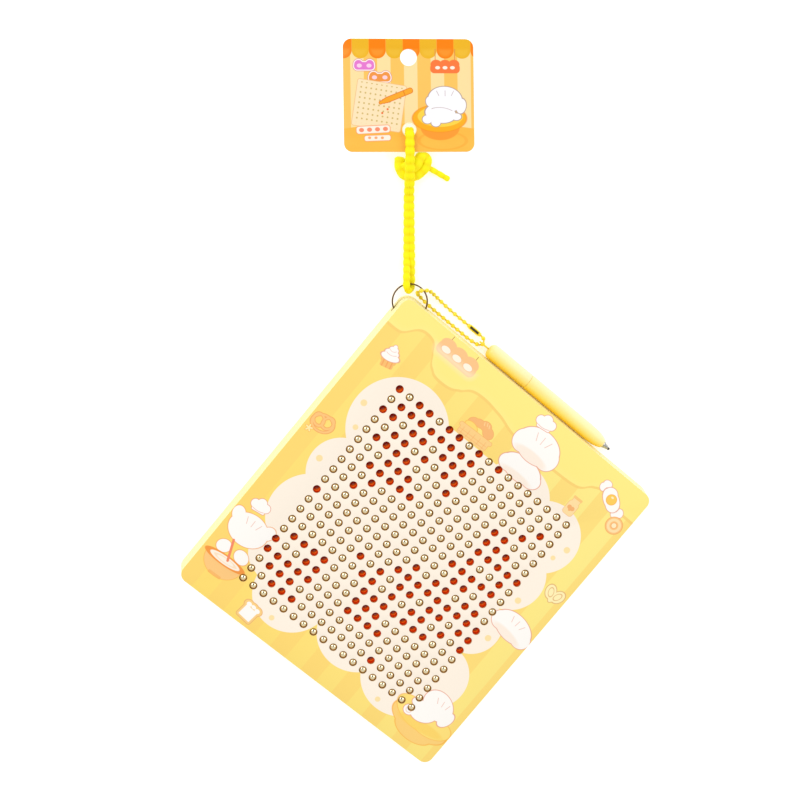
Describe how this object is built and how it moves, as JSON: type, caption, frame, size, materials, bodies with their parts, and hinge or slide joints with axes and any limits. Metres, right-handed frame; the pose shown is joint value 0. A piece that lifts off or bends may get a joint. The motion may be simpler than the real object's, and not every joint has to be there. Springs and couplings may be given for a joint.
{
  "type": "magnetic ball drawing board",
  "caption": "Flat magnetic drawing board with steel balls in a grid of holes, a pen on a ball chain, a key ring, a beaded strap and a card hang tag.",
  "frame": {"origin": "centre of the flat back face of the board", "axes": "+Z out of the printed face, +Y towards the side where the pen lies, +X along the rows of holes"},
  "size_m": [0.205, 0.2294, 0.012],
  "materials": {
    "shell": "satin pale yellow moulding",
    "panel": "satin moulding",
    "print": "glossy printed sheet",
    "red_cells": "glossy moulded silicone",
    "magnet_sheet": "matte",
    "foam": "matte foam",
    "steel_ball": "polished",
    "ring_wire": "dark plated",
    "chain": "yellow lacquer",
    "pen_body": "satin moulding",
    "pen_metal": "polished",
    "strap": "soft satin",
    "card": "gloss printed card"
  },
  "bodies": {
    "board": {"rear_shell": "shell", "front_panel": "panel", "locating_frame": "panel", "printed_sheet": "print", "cell_plate": "red_cells", "magnet_sheet": "magnet_sheet", "foam_pad": "foam"},
    "ring": {"key_ring": "ring_wire"},
    "chain": {"ball_chain": "chain", "chain_connector": "chain"},
    "pen": {"pen_eye": "chain", "pen_cap": "pen_body", "pen_barrel": "pen_body", "pen_point": "pen_metal", "pen_magnet": "pen_metal"},
    "strap": {"strap": "strap", "strap_knot": "strap", "strap_tail": "strap"},
    "tag": {"hang_tag": "card"},
    "raised_1": {"raised_balls_1": "steel_ball"},
    "sunk_1": {"sunk_balls_1": "steel_ball"},
    "raised_2": {"raised_balls_2": "steel_ball"},
    "sunk_2": {"sunk_balls_2": "steel_ball"},
    "raised_3": {"raised_balls_3": "steel_ball"},
    "sunk_3": {"sunk_balls_3": "steel_ball"},
    "raised_4": {"raised_balls_4": "steel_ball"},
    "sunk_4": {"sunk_balls_4": "steel_ball"},
    "raised_5": {"raised_balls_5": "steel_ball"},
    "sunk_5": {"sunk_balls_5": "steel_ball"}
  },
  "joints": [
    {"name": "raised_balls_press_1", "type": "slide", "parent": "board", "child": "raised_1", "axis": [0, 0, 1], "range_m": [-0.0024, 0]},
    {"name": "sunk_balls_lift_1", "type": "slide", "parent": "board", "child": "sunk_1", "axis": [0, 0, 1], "range_m": [0, 0.0024]},
    {"name": "raised_balls_press_2", "type": "slide", "parent": "board", "child": "raised_2", "axis": [0, 0, 1], "range_m": [-0.0024, 0]},
    {"name": "sunk_balls_lift_2", "type": "slide", "parent": "board", "child": "sunk_2", "axis": [0, 0, 1], "range_m": [0, 0.0024]},
    {"name": "raised_balls_press_3", "type": "slide", "parent": "board", "child": "raised_3", "axis": [0, 0, 1], "range_m": [-0.0024, 0]},
    {"name": "sunk_balls_lift_3", "type": "slide", "parent": "board", "child": "sunk_3", "axis": [0, 0, 1], "range_m": [0, 0.0024]},
    {"name": "raised_balls_press_4", "type": "slide", "parent": "board", "child": "raised_4", "axis": [0, 0, 1], "range_m": [-0.0024, 0]},
    {"name": "sunk_balls_lift_4", "type": "slide", "parent": "board", "child": "sunk_4", "axis": [0, 0, 1], "range_m": [0, 0.0024]},
    {"name": "raised_balls_press_5", "type": "slide", "parent": "board", "child": "raised_5", "axis": [0, 0, 1], "range_m": [-0.0024, 0]},
    {"name": "sunk_balls_lift_5", "type": "slide", "parent": "board", "child": "sunk_5", "axis": [0, 0, 1], "range_m": [0, 0.0024]},
    {"name": "ring_swing", "type": "hinge", "parent": "board", "child": "ring", "pos_m": [-0.0573, 0.0657, 0.0045], "axis": [0, 0, 1], "range_deg": [0, 8]},
    {"name": "strap_swing", "type": "hinge", "parent": "ring", "child": "strap", "pos_m": [-0.0602, 0.0686, 0.0045], "axis": [0, 0, 1], "range_deg": [-8, 12]},
    {"name": "tag_turn", "type": "hinge", "parent": "strap", "child": "tag", "pos_m": [-0.10169, 0.11805, 0.00451], "axis": [-0.0783, 0.0934, 0.9925], "range_deg": [-15, 15]},
    {"name": "chain_swing", "type": "hinge", "parent": "ring", "child": "chain", "pos_m": [-0.0602, 0.0686, 0.0045], "axis": [0, 0, 1], "range_deg": [0, 12]},
    {"name": "pen_lift", "type": "hinge", "parent": "chain", "child": "pen", "pos_m": [-0.02695, 0.07395, 0.00307], "axis": [0, -1, 0], "range_deg": [0, 35]}
  ]
}
